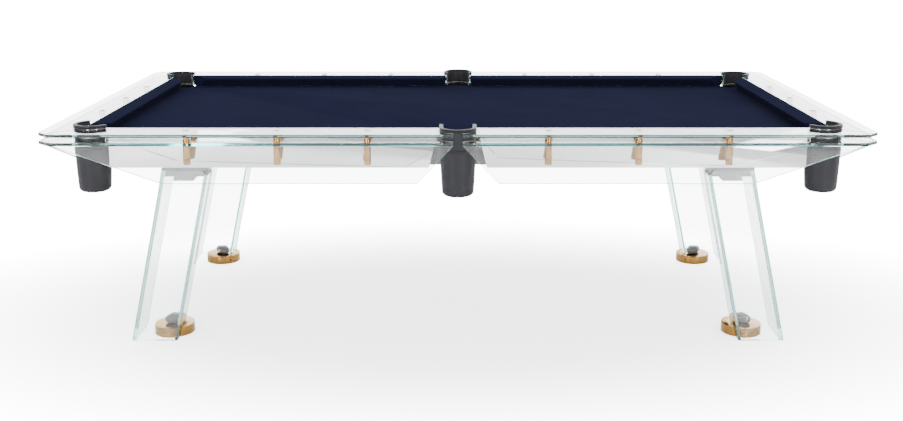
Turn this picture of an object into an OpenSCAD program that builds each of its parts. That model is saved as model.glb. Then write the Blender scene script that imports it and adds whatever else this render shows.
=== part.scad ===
// Glass pool table: clear glass rails and legs, brass feet, leather pockets and a slate bed.
// Millimetres. The origin is on the floor below the middle of the bed, +X along the table, +Z up.

/* [Playing field] */
// Length of the bed from cushion nose to cushion nose
play_l = 2337; // [1900:1:2900]
// Width of the bed from cushion nose to cushion nose
play_w = 1168; // [950:1:1420]
// Width of a cushion's top, nose to back
cushion_w = 51; // [45:1:60]
// Height of a cushion's nose above the cloth
nose_h = 36.5; // [34:0.5:38]
// Thickness of the slate
slate_t = 25; // [19:1:30]
// Thickness of the rubber facing on a cushion's end
facing_t = 3; // [2:0.5:6]
// Thickness of the bed cloth
cloth_t = 1; // [0.8:0.1:1.5]

/* [Glass top] */
// Height of the rail glass top above the floor
table_h = 770; // [640:1:940]
// Thickness of the rail, shelf and apron glass
glass_t = 10; // [8:0.5:12]
// Width of the rail glass around the cushions
rail_w = 120; // [105:1:150]
// Clear gap between the rail glass and the shelf glass under it
layer_gap = 17; // [12:1:25]
// Cut across each outer corner of the glass
corner_cut = 40; // [20:1:60]
// Gap between the two halves of a long rail at the middle pocket
half_gap = 30; // [24:1:40]

/* [Apron] */
// Height of the apron glass
apron_h = 123; // [90:1:140]
// Distance from the outer corner to the apron's upper end, long sides and ends
apron_inset = 49.5; // [45:1:80]
// Slope of the apron's ends, run per unit of height
apron_slope = 2.82; // [1:0.02:3]
// Slope of the long apron's notch at the middle pocket
notch_slope = 0.94; // [0.5:0.02:1.5]

/* [Chassis] */
// Height of the polished side panels
panel_h = 119; // [95:1:125]
// Thickness of the side panels
panel_t = 10; // [6:0.5:12]
// Width of a chassis beam
beam_w = 60; // [40:1:70]
// Wall of a chassis beam
beam_wall = 5; // [3:0.5:8]
// Gap between a chassis beam and the side panel
beam_back = 15; // [12:1:20]

/* [Pockets] */
// Inner radius of a pocket's throat
throat_r = 46.5; // [42:0.5:56]
// Thickness of the pocket leather
leather_t = 4; // [3:0.5:5]
// How much wider a pocket cup is than its throat, on the radius
cup_flare = 12.5; // [10:0.5:15]
// Taper of a pocket cup from top to bottom
cup_taper = 6; // [0:0.5:10]
// Depth of a pocket cup below the cloth
cup_depth = 169; // [120:1:200]
// Radius of the round edge at the foot of a cup
cup_round = 16; // [8:1:24]
// Distance of a corner pocket's middle from the inner glass corner, along each side
corner_in = 21.3; // [18:0.1:26]
// Gap between a middle pocket's cup and the apron glass
cup_gap = 3; // [2:0.5:10]
// Gap between a pocket cup and a chassis beam
cup_clear = 4; // [2:0.5:12]
// Distance between the two noses at a corner pocket
corner_mouth = 118; // [112:1:126]
// Distance between the two noses at a middle pocket
middle_mouth = 130; // [126:1:140]
// Height of the leather rim above the glass
rim_h = 12.5; // [8:0.5:16]
// Width of the leather rim
rim_w = 13; // [9:0.5:15]

/* [Sights and posts] */
// Radius of a sight screw's head
head_r = 11.75; // [9:0.25:13]
// Thickness of a sight screw's head
head_t = 4; // [3:0.5:5]
// Radius of a sight screw's shank
shank_r = 6; // [4:0.5:7]
// Radius of a brass post under the glass
post_r = 11.5; // [9:0.25:13]
// Length of a brass post and its cap
post_l = 75; // [50:1:90]
// Length of the cap at the foot of a post
cap_l = 18; // [10:1:25]
// Distance of the sights from the cushion nose
sight_out = 93.7; // [88:0.1:100]

/* [Legs] */
// Distance of a leg's outer edge from the end of the glass at the floor
leg_in_x = 210.5; // [180:0.5:260]
// Distance of a leg's outer face from the long side of the glass
leg_in_y = 225; // [205:1:260]
// Width of a leg's face plate
leg_w = 157; // [140:1:200]
// Depth of the outer side plate
outer_depth = 165; // [140:1:180]
// Depth of the inner side plate
inner_depth = 100; // [80:1:120]
// Thickness of the leg glass
leg_t = 12; // [10:0.5:15]
// Lean of a leg, run per unit of height
leg_lean = 0.2135; // [0:0.005:0.25]
// Cut at the inner top corner of a face plate
leg_cut = 20; // [0:1:40]
// How far the steel head reaches down between the glass plates
tongue_h = 24; // [10:1:40]

/* [Feet] */
// Radius of a brass foot disc
disc_r = 68.5; // [60:0.5:75]
// Height of a brass foot disc
disc_h = 33; // [26:1:45]
// Gap between a levelling glide and the glass plate that stands in the disc
glide_gap = 2.3; // [1:0.1:6]
// Distance of a disc's middle from a leg's outer face
disc_back = 101; // [95:0.5:115]
// Radius of a levelling glide
glide_r = 17; // [12:0.5:18]
// Radius of a levelling screw
screw_r = 6; // [4:0.5:8]
// Length of a decorative stone
stone_l = 84; // [50:1:100]
// Thickness of a levelling glide
glide_h = 5; // [4:0.5:8]

/* [Hidden] */
$fn = 64;
fit = 0.3;          // clearance between pieces that stand against each other
bond = 0.2;         // thickness of a glue line
play_x = play_l / 2;
play_y = play_w / 2;
inner_x = play_x + cushion_w;            // inner edge of the rail glass
inner_y = play_y + cushion_w;
outer_x = inner_x + rail_w;              // outer edge of the glass
outer_y = inner_y + rail_w;
rail_z = table_h - glass_t;              // underside of the rail glass
shelf_top = rail_z - layer_gap;
shelf_z = shelf_top - glass_t;
cushion_drop = 44;                       // cloth below the rail glass top
nose_flat = 4;                           // height of the flat on a cushion's nose
face_back = 22;                          // depth of the cushion's rubber at the cloth
face_lift = 8;                           // height of the rubber's foot
cloth_z = table_h - cushion_drop;        // top of the cloth
slate_top = cloth_z - cloth_t;
back_top = table_h - 13;                 // top of the backing
slate_z = slate_top - slate_t;
apron_z = shelf_z - apron_h;
panel_top = rail_z - 1;
panel_z = panel_top - panel_h;
flange_w = 30;
flange_t = 4;
beam_z = panel_z + flange_t + bond;
beam_top = slate_z - bond;
throat_o = throat_r + leather_t;         // outside of the throat
hole_r = throat_o + 0.5;                 // hole in the glass around the throat
rim_in = throat_r + 1;                   // inside of the rim
cup_r = throat_r + cup_flare;
cup_top = cloth_z - leather_t;
cup_z = cloth_z - cup_depth;
slate_hole = cup_r + 1;
corner_x = inner_x - corner_in;
corner_y = inner_y - corner_in;
middle_out = rail_w - glass_t - cup_r - cup_gap;
middle_y = inner_y + middle_out;
corner_run = 16;                         // straight part of a corner throat
corner_cut_deg = 38;                     // angle of a cushion's facing at a corner pocket
middle_cut_deg = 76;                     // and at a middle pocket
post_top = shelf_z;
post_z = post_top - post_l;
cap_top = post_z + cap_l;
bracket_t = 10;                          // top plate of a leg bracket
bracket_edge = 20;                       // how far that plate stands out at the inner side
head_h = 34;                             // from the panels' foot to the top of the leg glass
tongue_step = 15;                        // how much lower the middle of the tongue is
leg_top = panel_z - head_h;
leg_floor = 1;                           // the glass stops just above the floor
leg_x = outer_x - leg_in_x;
leg_y = outer_y - leg_in_y;
leg_run = leg_lean * (leg_top - leg_floor);
leg_beam_x = leg_x - leg_w / 2 - leg_run;
side_t = leg_t * sqrt(1 + leg_lean * leg_lean);
disc_x = leg_x - leg_w + side_t + glide_r + glide_gap;
disc_y = leg_y - disc_back;
stone_x = disc_x + 0.4 * stone_l - 34;
spigot_l = 8;                            // how far a cap goes up into its post
shank_l = 18;                            // how far a sight screw goes into its post
glide_tip_r = 4;
tip_l = 3.5;                             // depth of the screw's tip in the glide
socket_l = 7;                            // depth of the socket in the screw's top
run_clear = 0.1;                         // running clearance of the levelling screw

// Name, middle x, middle y, direction of the mouth in degrees and length of the straight throat
POCKETS = [
    ["near_left", -corner_x, -corner_y, 45, corner_run],
    ["near_middle", 0, -middle_y, 90, middle_out],
    ["near_right", corner_x, -corner_y, 135, corner_run],
    ["far_left", -corner_x, corner_y, -45, corner_run],
    ["far_middle", 0, middle_y, -90, middle_out],
    ["far_right", corner_x, corner_y, -135, corner_run]];

// Each long rail half, as its name and its mirroring in x and y from the far right one
HALVES = [["near_left", -1, -1], ["near_right", 1, -1], ["far_left", -1, 1], ["far_right", 1, 1]];
ENDS = [["left_end", -1], ["right_end", 1]];

// Where the sights stand: three on each half of a long rail, three on each end
function sight_places() = concat(
    [for (sx = [-1, 1], sy = [-1, 1], k = [1:3]) [sx * k * play_l / 8, sy * (play_y + sight_out)]],
    [for (sx = [-1, 1], k = [-1:1]) [sx * (play_x + sight_out), k * play_w / 4]]);

// Copies its child, made for the far right, to one corner of the table
module at_corner(sx, sy) {
    mirror([sx < 0 ? 1 : 0, 0, 0]) mirror([0, sy < 0 ? 1 : 0, 0]) children();
}

module at_each_corner() {
    for (h = HALVES) at_corner(h[1], h[2]) children();
}

// A round pocket outline of radius r with its straight throat towards the mouth
module throat_outline(p, r, extra = 0) {
    translate([p[1], p[2]]) rotate(p[3]) {
        circle(r);
        translate([0, -r]) square([p[4] + extra, 2 * r]);
    }
}

module throat_cuts(r, extra) {
    for (p = POCKETS) throat_outline(p, r, extra);
}

module sight_holes(r) {
    for (s = sight_places()) translate(s) circle(r);
}

// Outline of half a long glass layer; inner is its inner edge beyond the cushion
module half_outline(inner) {
    polygon([[half_gap / 2, inner_y + inner], [inner_x + inner - bond, inner_y + inner],
        [outer_x - corner_cut / 2 - bond, outer_y - corner_cut / 2],
        [outer_x - corner_cut, outer_y], [half_gap / 2, outer_y]]);
}

// Outline of an end glass layer on the right
module end_outline(inner) {
    side = [[inner_x + inner, inner_y + inner - bond],
        [outer_x - corner_cut / 2, outer_y - corner_cut / 2 - bond],
        [outer_x, outer_y - corner_cut]];
    polygon(concat(side, [for (i = [2:-1:0]) [side[i][0], -side[i][1]]]));
}

// Glass with pocket cut-outs and screw holes, countersunk if it is the rail
module glass_layer(z, sunk) {
    difference() {
        translate([0, 0, z]) linear_extrude(glass_t) difference() {
            children();
            throat_cuts(hole_r, cushion_w);
            sight_holes(shank_r + fit);
        }
        if (sunk) for (s = sight_places())
            translate([s[0], s[1], table_h - head_t - bond])
                cylinder(r = head_r + fit, h = head_t + 1);
    }
}

module rail_half(sx, sy) {
    color("lightcyan", 0.5) glass_layer(rail_z, true) at_corner(sx, sy) half_outline(0);
}

module rail_end(sx) {
    color("lightcyan", 0.5) glass_layer(rail_z, true) at_corner(sx, 1) end_outline(0);
}

module shelf_half(sx, sy) {
    color("azure", 0.5) glass_layer(shelf_z, false) at_corner(sx, sy)
        half_outline(panel_t + bond);
}

module shelf_end(sx) {
    color("azure", 0.5) glass_layer(shelf_z, false) at_corner(sx, 1) end_outline(panel_t + bond);
}

// Upright apron glass under the outer edge of a long half
module apron_half(sx, sy) {
    top = shelf_z - bond;
    notch = half_gap / 2 + apron_h * notch_slope;
    color("lightcyan", 0.5) at_corner(sx, sy) translate([0, outer_y, 0]) rotate([90, 0, 0])
        linear_extrude(glass_t) polygon([[half_gap / 2, top], [outer_x - apron_inset, top],
            [outer_x - apron_inset - apron_h * apron_slope, apron_z], [notch, apron_z]]);
}

module apron_end(sx) {
    top = shelf_z - bond;
    reach = outer_y - apron_inset;
    low = reach - apron_h * apron_slope;
    color("lightcyan", 0.5) at_corner(sx, 1) translate([outer_x - glass_t, 0, 0])
        rotate([90, 0, 90]) linear_extrude(glass_t)
            polygon([[-reach, top], [reach, top], [low, apron_z], [-low, apron_z]]);
}

// Cushion section: nose at 0, back at cushion_w, worked outwards from the nose line
module cushion_section() {
    nose_z = cloth_z + nose_h - 3;
    polygon([[0, nose_z], [0, nose_z + nose_flat], [2, nose_z + nose_flat + 2],
        [cushion_w - fit, table_h - 0.5], [cushion_w - fit, cloth_z + fit],
        [face_back - facing_t, cloth_z + fit], [face_back - facing_t, cloth_z + face_lift]]);
}

// Section of the wooden backing, grown by extra for the space that it fills in the cushion
module backing_section(extra) {
    back = cushion_w - 2 * fit + 4 * extra;
    foot = cloth_z + fit - 4 * extra;
    translate([face_back + fit - extra, foot])
        square([back - face_back + extra, back_top + extra - foot]);
}

// A bar with the given section along a long side, its facings set back by inset at both pockets
module long_bar(inset = 0) {
    corner_end = play_x - corner_mouth / sqrt(2) - inset;
    middle_end = middle_mouth / 2 + inset;
    corner_turn = cushion_w / tan(corner_cut_deg);
    middle_turn = cushion_w / tan(middle_cut_deg);
    intersection() {
        translate([0, play_y, 0]) rotate([90, 0, 90]) linear_extrude(outer_x) children();
        linear_extrude(table_h) polygon([[middle_end, play_y], [corner_end, play_y],
            [corner_end + corner_turn, inner_y], [corner_end + corner_turn, outer_y],
            [middle_end - middle_turn, outer_y], [middle_end - middle_turn, inner_y]]);
    }
}

module end_bar(inset = 0) {
    corner_end = play_y - corner_mouth / sqrt(2) - inset;
    far_end = corner_end + cushion_w / tan(corner_cut_deg);
    intersection() {
        translate([play_x, outer_y, 0]) rotate([90, 0, 0]) linear_extrude(2 * outer_y) children();
        linear_extrude(table_h) polygon([[play_x, -corner_end], [inner_x, -far_end],
            [outer_x, -far_end], [outer_x, far_end], [inner_x, far_end], [play_x, corner_end]]);
    }
}

// Keeps its child clear of the pocket throats, and by inset more
module clear_of_pockets(inset = 0) {
    difference() {
        children();
        translate([0, 0, cup_z]) linear_extrude(table_h) throat_cuts(hole_r + inset, 0);
    }
}

module cushion_half(sx, sy) {
    color("midnightblue") difference() {
        clear_of_pockets() at_corner(sx, sy) long_bar() cushion_section();
        clear_of_pockets(facing_t) at_corner(sx, sy) long_bar(facing_t) backing_section(fit);
    }
}

module cushion_end(sx) {
    color("midnightblue") difference() {
        clear_of_pockets() at_corner(sx, 1) end_bar() cushion_section();
        clear_of_pockets(facing_t) at_corner(sx, 1) end_bar(facing_t) backing_section(fit);
    }
}

module cushion_backing() {
    inset = facing_t + fit;
    color("burlywood") clear_of_pockets(inset) {
        at_each_corner() long_bar(inset) backing_section(0);
        for (e = ENDS) at_corner(e[1], 1) end_bar(inset) backing_section(0);
    }
}

module bed_outline() {
    difference() {
        square([2 * (inner_x - fit), 2 * (inner_y - fit)], center = true);
        for (p = POCKETS) translate([p[1], p[2]]) circle(slate_hole);
    }
}

// Three slabs side by side
module slate_slabs() {
    joint_x = 2 * inner_x / 6;
    color("slategray") difference() {
        translate([0, 0, slate_z]) linear_extrude(slate_t) bed_outline();
        for (s = [-1, 1]) translate([s * joint_x - bond / 2, -inner_y, slate_z - 1])
            cube([bond, 2 * inner_y, slate_t + 2]);
    }
}

module bed_cloth() {
    color("midnightblue") translate([0, 0, slate_top]) linear_extrude(cloth_t) bed_outline();
}

// Leather cup with a rounded foot, a shoulder under the cloth and an open throat
module pocket_cup(p) {
    foot_r = cup_r - cup_taper;
    inside = cup_round - leather_t;
    shoulder_r = throat_r + leather_t / 4;
    throat_z = cup_top - leather_t / 2;
    color("black") {
        translate([p[1], p[2], 0]) rotate_extrude() polygon(concat(
            [[shoulder_r, cup_top - leather_t], [cup_r - leather_t, cup_top - leather_t]],
            [for (a = [0:-15:-90]) [foot_r - cup_round + inside * cos(a),
                cup_z + cup_round + inside * sin(a)]],
            [[0, cup_z + leather_t], [0, cup_z]],
            [for (a = [-90:15:0]) [foot_r - cup_round + cup_round * cos(a),
                cup_z + cup_round + cup_round * sin(a)]],
            [[cup_r, cup_top], [shoulder_r, cup_top]]));
        translate([0, 0, throat_z]) linear_extrude(table_h - fit - throat_z) difference() {
            throat_outline(p, throat_o);
            throat_outline(p, throat_r, throat_o);
        }
        if (p[1] == 0) pocket_neck(p);
    }
}

// Leather strap of a middle pocket, in the gap between the two rail halves
module pocket_neck(p) {
    start = throat_r + leather_t / 2;
    end = outer_y - glass_t - fit - middle_y;
    translate([p[1], p[2], 0]) rotate(p[3] + 180) translate([start, fit - half_gap / 2, shelf_z])
        cube([end - start, half_gap - 2 * fit, table_h - fit - shelf_z]);
}

// Padded leather rim lying on the glass around a throat
module pocket_rim(p) {
    color("black") translate([0, 0, table_h + bond / 2]) linear_extrude(rim_h) difference() {
        throat_outline(p, rim_in + rim_w);
        throat_outline(p, rim_in, rim_in + rim_w);
    }
}

module sight_screws() {
    tip = post_top - shank_l;
    color("gainsboro") for (s = sight_places()) translate([s[0], s[1], 0]) {
        translate([0, 0, table_h - head_t]) cylinder(r = head_r, h = head_t);
        translate([0, 0, tip]) cylinder(r = shank_r, h = table_h - head_t - tip + 1);
    }
}

module spacer_sleeves() {
    color("gold") for (s = sight_places()) translate([s[0], s[1], shelf_top + bond / 2]) difference() {
        cylinder(r = post_r, h = layer_gap - bond);
        translate([0, 0, -1]) cylinder(r = shank_r + fit, h = layer_gap + 2);
    }
}

module sight_posts() {
    color("gold") for (s = sight_places()) translate([s[0], s[1], 0]) difference() {
        translate([0, 0, cap_top + fit]) cylinder(r = post_r, h = post_top - cap_top - fit - bond);
        translate([0, 0, post_top - shank_l - 2]) cylinder(r = shank_r + fit, h = shank_l + 3);
        translate([0, 0, cap_top]) cylinder(r = shank_r + fit, h = spigot_l + 2);
    }
}

module post_caps() {
    color("goldenrod") for (s = sight_places()) translate([s[0], s[1], post_z]) {
        cylinder(r = post_r, h = cap_l);
        cylinder(r = shank_r, h = cap_l + spigot_l);
    }
}

// Side panel section: an upright plate with a flange turned in under the beams
module panel_section() {
    translate([0, panel_z]) square([panel_t, panel_h]);
    translate([-flange_w, panel_z]) square([flange_w + 1, flange_t]);
}

module chassis_panels() {
    middle_end = cup_r + cup_clear + 2;
    long_end = corner_x - cup_r - cup_clear / 2;
    short_end = corner_y - cup_r - cup_clear / 2;
    slant = panel_h / 4;
    color("silver") {
        at_each_corner() intersection() {
            translate([0, inner_y, 0]) rotate([90, 0, 90]) linear_extrude(long_end) panel_section();
            translate([0, outer_y, 0]) rotate([90, 0, 0]) linear_extrude(rail_w + cushion_w + flange_w)
                polygon([[middle_end + slant, panel_z], [middle_end, panel_top],
                    [long_end, panel_top], [long_end, panel_z]]);
        }
        for (e = ENDS) at_corner(e[1], 1) translate([inner_x, short_end, 0]) rotate([90, 0, 0])
            linear_extrude(2 * short_end) panel_section();
    }
}

// A square tube that lies along X, from x0 to x1, with its side at y0
module tube_beam(x0, x1, y0) {
    beam_h = beam_top - beam_z;
    translate([x0, y0, beam_z]) difference() {
        cube([x1 - x0, beam_w, beam_h]);
        translate([-1, beam_wall, beam_wall])
            cube([x1 - x0 + 2, beam_w - 2 * beam_wall, beam_h - 2 * beam_wall]);
    }
}

// Beam frame that carries the slate: two long beams, two end beams and cross beams between them
module chassis_beams() {
    long_y = min(inner_y - beam_back, middle_y - cup_r - cup_clear) - beam_w;
    long_end = corner_x - cup_r - beam_back / 2;
    end_x = inner_x - beam_w - beam_back;
    end_y = corner_y - cup_r - beam_back / 2;
    color("dimgray") {
        for (s = [0, 1]) mirror([0, s, 0]) tube_beam(-long_end, long_end, long_y);
        for (x = [-leg_beam_x, -leg_beam_x / 2, 0, leg_beam_x / 2, leg_beam_x])
            translate([x, 0, 0]) rotate(90) tube_beam(-long_y + bond, long_y - bond, -beam_w / 2);
        for (s = [-1, 1]) rotate(90) tube_beam(-min(end_y, long_y - bond), min(end_y, long_y - bond),
            -s * end_x - (s > 0 ? beam_w : 0));
    }
}

// Steel head that clamps the top of a leg under the beams, with a tongue between the glass plates
module leg_brackets() {
    head_x = leg_x - leg_w - leg_run;
    back = leg_y - outer_depth;
    color("gray") at_each_corner() {
        translate([head_x, back, leg_top + bond])
            cube([leg_w, outer_depth, beam_z - bracket_t - leg_top - bond]);
        translate([head_x - bracket_edge, back, beam_z - bracket_t])
            cube([leg_w + 1.5 * bracket_edge, outer_depth + bracket_edge / 2, bracket_t - bond]);
        leg_tongue(0, tongue_h);
        leg_tongue(leg_w / 5, tongue_h + tongue_step);
    }
}

// Block that leans with the leg, inset from both side plates and low below the glass's top
module leg_tongue(inset, low) {
    x0 = leg_x - leg_w + side_t + fit + inset;
    x1 = leg_x - side_t - fit - inset;
    foot = leg_run - leg_lean * low;
    head = leg_run + leg_lean;
    translate([0, leg_y - leg_t - bond - fit, 0]) rotate([90, 0, 0])
        linear_extrude(outer_depth - leg_t - bond - fit)
            polygon([[x0 - foot, leg_top - low], [x1 - foot, leg_top - low],
                [x1 - head, leg_top + 1], [x0 - head, leg_top + 1]]);
}

// A plate that leans with the leg: from x0 to x1 at the floor, y0 to y1 deep, its inner top
// corner cut by cut and its top lowered by drop
module leaning_plate(x0, x1, y0, y1, cut = 0, drop = 0) {
    top = leg_top - drop;
    run = leg_lean * (top - leg_floor);
    translate([0, y1, 0]) rotate([90, 0, 0]) linear_extrude(y1 - y0)
        polygon([[x0, leg_floor], [x1, leg_floor], [x1 - run, top],
            [x0 - run + cut, top], [x0 - run + cut * leg_lean, top - cut]]);
}

module leg_glass(sx, sy) {
    x0 = leg_x - leg_w;
    behind = leg_y - leg_t - bond;
    color("lightcyan", 0.5) at_corner(sx, sy) {
        leaning_plate(x0, leg_x, leg_y - leg_t, leg_y, leg_cut);
        leaning_plate(leg_x - side_t, leg_x, leg_y - outer_depth, behind);
        leaning_plate(x0, x0 + side_t, leg_y - inner_depth, behind, 0, leg_cut);
    }
}

// Brass disc with a slot for the inner plate, a recess for the glide and a threaded hole
module foot_discs() {
    x0 = leg_x - leg_w - fit;
    x1 = leg_x - leg_w + side_t + fit;
    dip = leg_lean * 2;                  // the plate's lean over the 2 mm below it
    rise = leg_lean * (disc_h + 1);
    key_r = 4;                           // hole in the rim for a tommy bar
    key_l = 12;
    color("goldenrod") at_each_corner() difference() {
        translate([disc_x, disc_y, 0]) cylinder(r = disc_r, h = disc_h);
        translate([0, leg_y + 1, 0]) rotate([90, 0, 0]) linear_extrude(inner_depth + 1 + fit)
            polygon([[x0 + dip, leg_floor - 2], [x1 + dip, leg_floor - 2],
                [x1 - rise, leg_floor + disc_h + 1], [x0 - rise, leg_floor + disc_h + 1]]);
        translate([disc_x, disc_y, -1]) cylinder(r = glide_r + 0.5, h = glide_h + 1.5);
        translate([disc_x, disc_y, -1]) cylinder(r = screw_r + run_clear, h = disc_h + 2);
        translate([disc_x, disc_y, disc_h / 2]) rotate([0, 90, 234])
            translate([0, 0, disc_r - key_l]) cylinder(r = key_r, h = key_l + 2);
    }
}

// A flattened pebble lying on each disc
module foot_stones() {
    tail_r = stone_l * 0.17;
    nose_r = stone_l * 0.16;
    side_r = stone_l * 0.185;
    end_r = stone_l * 0.12;
    color("darkslategray") at_each_corner() translate([stone_x, disc_y - 9, disc_h + bond])
        rotate(-145) hull() {
            translate([-stone_l * 0.28, -2, tail_r]) sphere(r = tail_r, $fn = 24);
            translate([stone_l * 0.24, 2, nose_r]) sphere(r = nose_r, $fn = 24);
            translate([0, end_r, side_r]) sphere(r = side_r, $fn = 24);
            translate([0, -end_r, side_r]) sphere(r = side_r, $fn = 24);
            translate([0, 0, 2 * side_r - end_r]) sphere(r = end_r, $fn = 24);
        }
}

// Levelling glide, flush with the floor when it is run in
module foot_glide(sx, sy) {
    color("dimgray") at_corner(sx, sy) translate([disc_x, disc_y, 0]) difference() {
        cylinder(r = glide_r, h = glide_h);
        translate([0, 0, glide_h - tip_l]) cylinder(r = glide_tip_r + run_clear, h = tip_l + 1);
    }
}

// Levelling screw with a six-sided socket in its top
module foot_screw(sx, sy) {
    top = disc_h - 3;
    color("silver") at_corner(sx, sy) translate([disc_x, disc_y, 0]) difference() {
        union() {
            translate([0, 0, glide_h + run_clear]) cylinder(r = screw_r, h = top - glide_h - run_clear);
            translate([0, 0, glide_h + run_clear - tip_l]) cylinder(r = glide_tip_r, h = tip_l + 1);
        }
        translate([0, 0, top - socket_l]) cylinder(r = screw_r * 0.6, h = socket_l + 1, $fn = 6);
    }
}

for (h = HALVES) {
    rail_half(h[1], h[2]);
    shelf_half(h[1], h[2]);
    apron_half(h[1], h[2]);
    cushion_half(h[1], h[2]);
    leg_glass(h[1], h[2]);
    foot_glide(h[1], h[2]);
    foot_screw(h[1], h[2]);
}
for (e = ENDS) {
    rail_end(e[1]);
    shelf_end(e[1]);
    apron_end(e[1]);
    cushion_end(e[1]);
}
for (p = POCKETS) {
    pocket_cup(p);
    pocket_rim(p);
}
cushion_backing();
slate_slabs();
bed_cloth();
sight_screws();
spacer_sleeves();
sight_posts();
post_caps();
chassis_panels();
chassis_beams();
leg_brackets();
foot_discs();
foot_stones();
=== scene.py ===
"""Glass pool table: the finished looks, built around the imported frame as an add-on layout."""
import math

import bmesh
import bpy
from bpy.props import FloatProperty, FloatVectorProperty, IntProperty, PointerProperty
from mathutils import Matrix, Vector


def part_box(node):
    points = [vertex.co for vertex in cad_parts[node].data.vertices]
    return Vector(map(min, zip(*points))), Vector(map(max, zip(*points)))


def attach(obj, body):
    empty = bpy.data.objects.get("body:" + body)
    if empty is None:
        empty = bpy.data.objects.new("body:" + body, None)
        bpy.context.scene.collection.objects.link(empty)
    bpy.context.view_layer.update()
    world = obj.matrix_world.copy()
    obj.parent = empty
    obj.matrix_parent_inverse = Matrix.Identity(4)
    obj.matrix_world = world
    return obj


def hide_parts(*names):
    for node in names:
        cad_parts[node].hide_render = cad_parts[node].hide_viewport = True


bl_info = {
    "name": "Glass pool table",
    "version": (1, 0, 0),
    "blender": (4, 5, 0),
    "location": "3D View > Sidebar > Pool table",
    "description": "Builds the finished glass pool table around its packed frame",
    "category": "Object",
}

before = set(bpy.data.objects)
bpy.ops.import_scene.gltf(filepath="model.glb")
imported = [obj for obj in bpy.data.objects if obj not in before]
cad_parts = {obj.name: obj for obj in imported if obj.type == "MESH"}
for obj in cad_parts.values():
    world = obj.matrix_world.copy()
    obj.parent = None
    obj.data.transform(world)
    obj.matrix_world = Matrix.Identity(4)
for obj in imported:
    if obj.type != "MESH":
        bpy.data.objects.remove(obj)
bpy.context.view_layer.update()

CORNERS = ("near_left", "near_right", "far_left", "far_right")
POCKETS = ("near_left", "near_middle", "near_right", "far_left", "far_middle", "far_right")
GLASS_PARTS = ("near_left", "near_right", "far_left", "far_right", "left_end", "right_end")


# ---------------------------------------------------------------- places, read from the frame

def centre(node):
    low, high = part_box(node)
    return (low + high) / 2


RAIL_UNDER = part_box("rail_glass_near_left")[0].z
SHELF_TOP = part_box("shelf_glass_near_left")[1].z
SHELF_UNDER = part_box("shelf_glass_near_left")[0].z
CLOTH_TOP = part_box("bed_cloth")[1].z
CUSHION_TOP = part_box("cushion_far_left")[1].z
NOSE_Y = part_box("cushion_far_left")[0].y
NOSE_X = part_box("cushion_right_end")[0].x
BACK_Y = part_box("cushion_far_left")[1].y
CUP_RADIUS = (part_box("pocket_cup_far_left")[1].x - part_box("pocket_cup_far_left")[0].x) / 2
CUP_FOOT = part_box("pocket_cup_far_left")[0].z
RIM_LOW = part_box("pocket_rim_far_left")[0].z
RIM_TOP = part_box("pocket_rim_far_left")[1].z
GLASS_INNER_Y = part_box("rail_glass_far_right")[0].y

# ---------------------------------------------------------------- sizes shared by several pieces

CORNER_MOUTH = 0.118                  # between the noses at a corner pocket
MIDDLE_MOUTH_HALF = 0.065             # half the gap between the noses at a middle pocket
CORNER_FACING, MIDDLE_FACING = 38, 76    # angles of the cushions' ends, in degrees
FACING_THICK = 0.0029
MIDDLE_POCKET_OUT = 0.048             # middle pocket's middle, out from the inner glass edge
CORNER_STRAIGHT = 0.016               # straight part of a corner throat
STITCH_RADIUS = 0.0466                # the four leather runs around a throat
LINING_RADIUS = 0.0485
RIM_RADIUS = 0.0542
COLLAR_RADIUS = 0.0545
BORE_RADIUS = 0.0064                  # bore of the sleeves and posts
POST_RADIUS = 0.0115
SLEEVE_RADIUS = 0.0114
SHANK_RADIUS = 0.006
HEAD_RADIUS = 0.01165                 # a sight screw's head and its drive socket
SOCKET_RADIUS, SOCKET_DEPTH = 0.0038, 0.0032
STONE_VOXEL, STONE_SMOOTHING = 0.0022, 5
CAMERA_PLACE = (0.0, -4.316, 1.446)
CAMERA_PITCH = 10.25                  # degrees below level
CAMERA_SHIFT = (-0.0071, -0.095)
SOFTBOX_SIZE = (0.6, 2.0)
SOFTBOX_POWER = 160.0
SOFTBOX_SIDES = (("left_softbox", -2.5), ("right_softbox", 2.3))
FLOOR_HALF = 14.0


# ---------------------------------------------------------------- settings a user would change

class LeatherSettings(bpy.types.PropertyGroup):
    """Sizes and colour of the pocket leather"""
    colour: FloatVectorProperty(name="Colour", description="Leather colour", subtype="COLOR",
                                size=3, min=0, max=1, default=(0.0042, 0.0042, 0.0054))
    roll: FloatProperty(name="Rim roll", description="Radius of a rim's padded roll",
                        unit="LENGTH", default=0.0062, min=0.003, max=0.009)
    stitch: FloatProperty(name="Stitch length", description="Length of one stitch",
                          unit="LENGTH", default=0.0045, min=0.002, max=0.008)
    taper: FloatProperty(name="Cup taper", description="How much narrower a cup is at its foot",
                         unit="LENGTH", default=0.0058, min=0, max=0.01)


class ClothSettings(bpy.types.PropertyGroup):
    """Colour and weave of the bed and cushion cloth"""
    colour: FloatVectorProperty(name="Colour", description="Cloth colour", subtype="COLOR",
                                size=3, min=0, max=1, default=(0.0046, 0.0053, 0.0145))
    weave: FloatProperty(name="Weave", description="Distance between two threads",
                         unit="LENGTH", default=0.0012, min=0.0005, max=0.004)


class GlassSettings(bpy.types.PropertyGroup):
    """Colours and edges of the glass"""
    face: FloatVectorProperty(name="Face colour", description="Tint of a polished face",
                              subtype="COLOR", size=3, min=0, max=1,
                              default=(0.975, 0.992, 0.99))
    edge: FloatVectorProperty(name="Edge colour", description="Tint of a cut edge",
                              subtype="COLOR", size=3, min=0, max=1, default=(0.28, 0.73, 0.70))
    bevel: FloatProperty(name="Edge bevel", description="Width of the ground bevel on each edge",
                         unit="LENGTH", default=0.0008, min=0.0002, max=0.002)


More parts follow.
